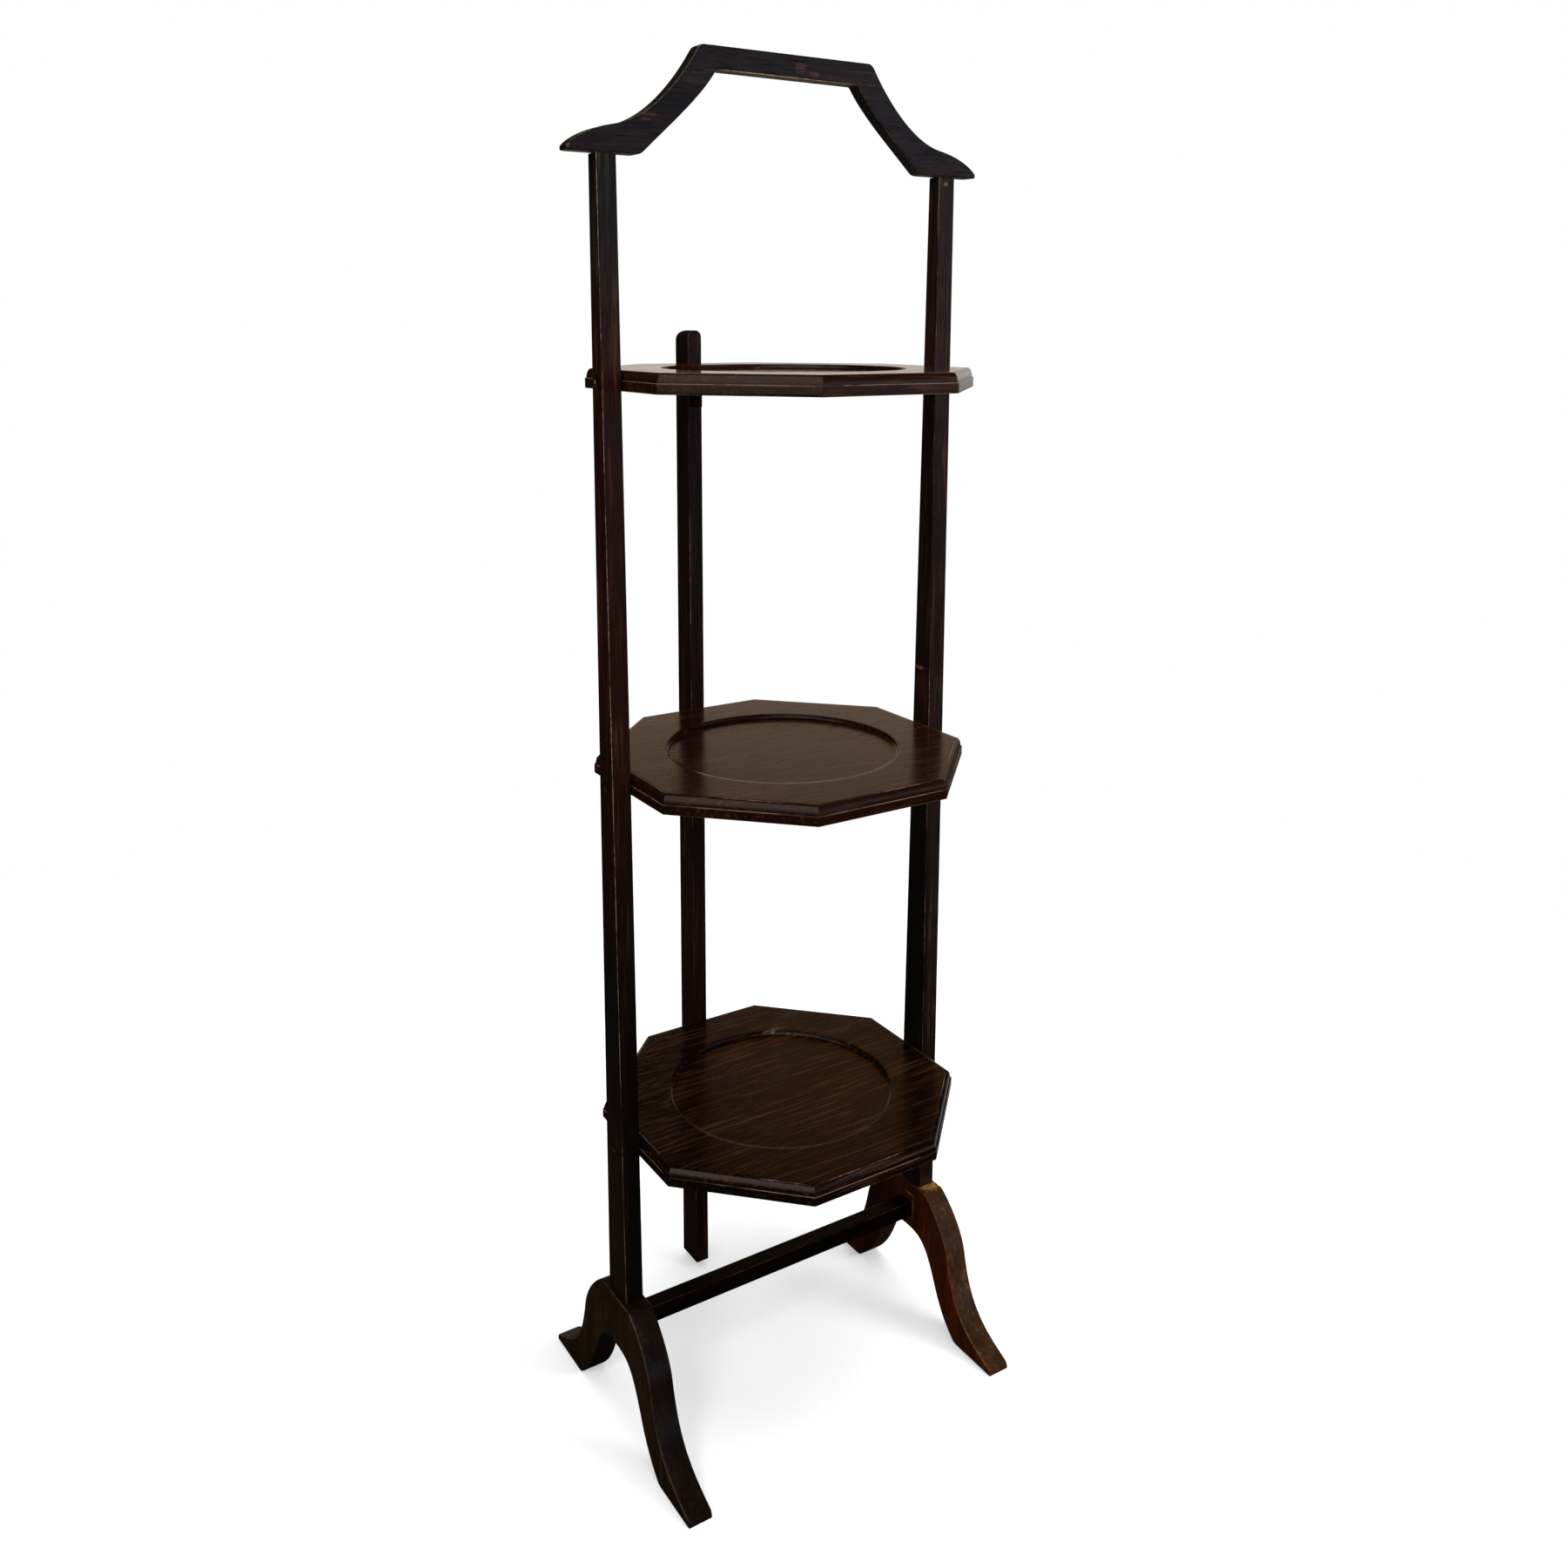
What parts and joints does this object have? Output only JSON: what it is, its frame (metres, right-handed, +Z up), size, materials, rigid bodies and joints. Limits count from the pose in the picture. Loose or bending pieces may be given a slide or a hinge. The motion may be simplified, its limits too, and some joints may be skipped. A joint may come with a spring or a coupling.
{
  "type": "folding cake stand",
  "caption": "Folding wooden cake stand: octagonal shelves pivot between two posts under a carrying handle, and a hinged strut behind folds them flat.",
  "frame": {"origin": "on the floor, at the middle of the stand's width and of its depth; the posts' own plane is 11.2 mm in front of it", "axes": "+Z up, +X from the left post to the right post as seen from the front, -Y towards the front, where the strut isn't"},
  "size_m": [0.291, 0.2504, 0.89],
  "materials": {
    "stained_oak": "open-grained oak under a dark brown stain and satin varnish, paler where edges are worn",
    "aged_steel": "dull steel, darkened with age",
    "aged_brass": "dull brass, browned with age"
  },
  "bodies": {
    "frame": {"left_post": "stained_oak", "right_post": "stained_oak", "handle": "stained_oak", "left_foot": "stained_oak", "right_foot": "stained_oak", "stretcher": "stained_oak"},
    "rear_strut": {"rear_strut": "stained_oak", "lower_hinge_strut_leaf": "aged_brass", "lower_hinge_strut_screw_upper": "aged_steel", "lower_hinge_strut_screw_lower": "aged_steel", "middle_hinge_strut_leaf": "aged_brass", "middle_hinge_strut_screw_upper": "aged_steel", "middle_hinge_strut_screw_lower": "aged_steel", "top_hinge_strut_leaf": "aged_brass", "top_hinge_strut_screw_upper": "aged_steel", "top_hinge_strut_screw_lower": "aged_steel"},
    "lower_shelf": {"lower_shelf": "stained_oak", "lower_left_pivot_screw": "aged_steel", "lower_right_pivot_screw": "aged_steel", "lower_hinge_shelf_leaf": "aged_brass", "lower_hinge_pin": "aged_steel", "lower_hinge_shelf_screw_rear": "aged_steel", "lower_hinge_shelf_screw_front": "aged_steel"},
    "middle_shelf": {"middle_shelf": "stained_oak", "middle_left_pivot_screw": "aged_steel", "middle_right_pivot_screw": "aged_steel", "middle_hinge_shelf_leaf": "aged_brass", "middle_hinge_pin": "aged_steel", "middle_hinge_shelf_screw_rear": "aged_steel", "middle_hinge_shelf_screw_front": "aged_steel"},
    "top_shelf": {"top_shelf": "stained_oak", "top_left_pivot_screw": "aged_steel", "top_right_pivot_screw": "aged_steel", "top_hinge_shelf_leaf": "aged_brass", "top_hinge_pin": "aged_steel", "top_hinge_shelf_screw_rear": "aged_steel", "top_hinge_shelf_screw_front": "aged_steel"}
  },
  "joints": [
    {"name": "middle_shelf_fold", "type": "hinge", "parent": "frame", "child": "middle_shelf", "pos_m": [0, -0.0112, 0.454], "axis": [1, 0, 0], "range_deg": [0, 90]},
    {"name": "lower_shelf_fold", "type": "hinge", "parent": "frame", "child": "lower_shelf", "pos_m": [0, -0.0112, 0.208], "axis": [1, 0, 0], "range_deg": [0, 90]},
    {"name": "top_shelf_fold", "type": "hinge", "parent": "frame", "child": "top_shelf", "pos_m": [0, -0.0112, 0.7], "axis": [1, 0, 0], "range_deg": [0, 90]},
    {"name": "strut_lift", "type": "hinge", "parent": "middle_shelf", "child": "rear_strut", "pos_m": [0, 0.1009, 0.4457], "axis": [1, 0, 0], "range_deg": [-90, 0]}
  ],
  "couplings": [
    {"joint": "lower_shelf_fold", "follows": "middle_shelf_fold", "ratio": 1},
    {"joint": "top_shelf_fold", "follows": "middle_shelf_fold", "ratio": 1},
    {"joint": "strut_lift", "follows": "middle_shelf_fold", "ratio": -1}
  ]
}
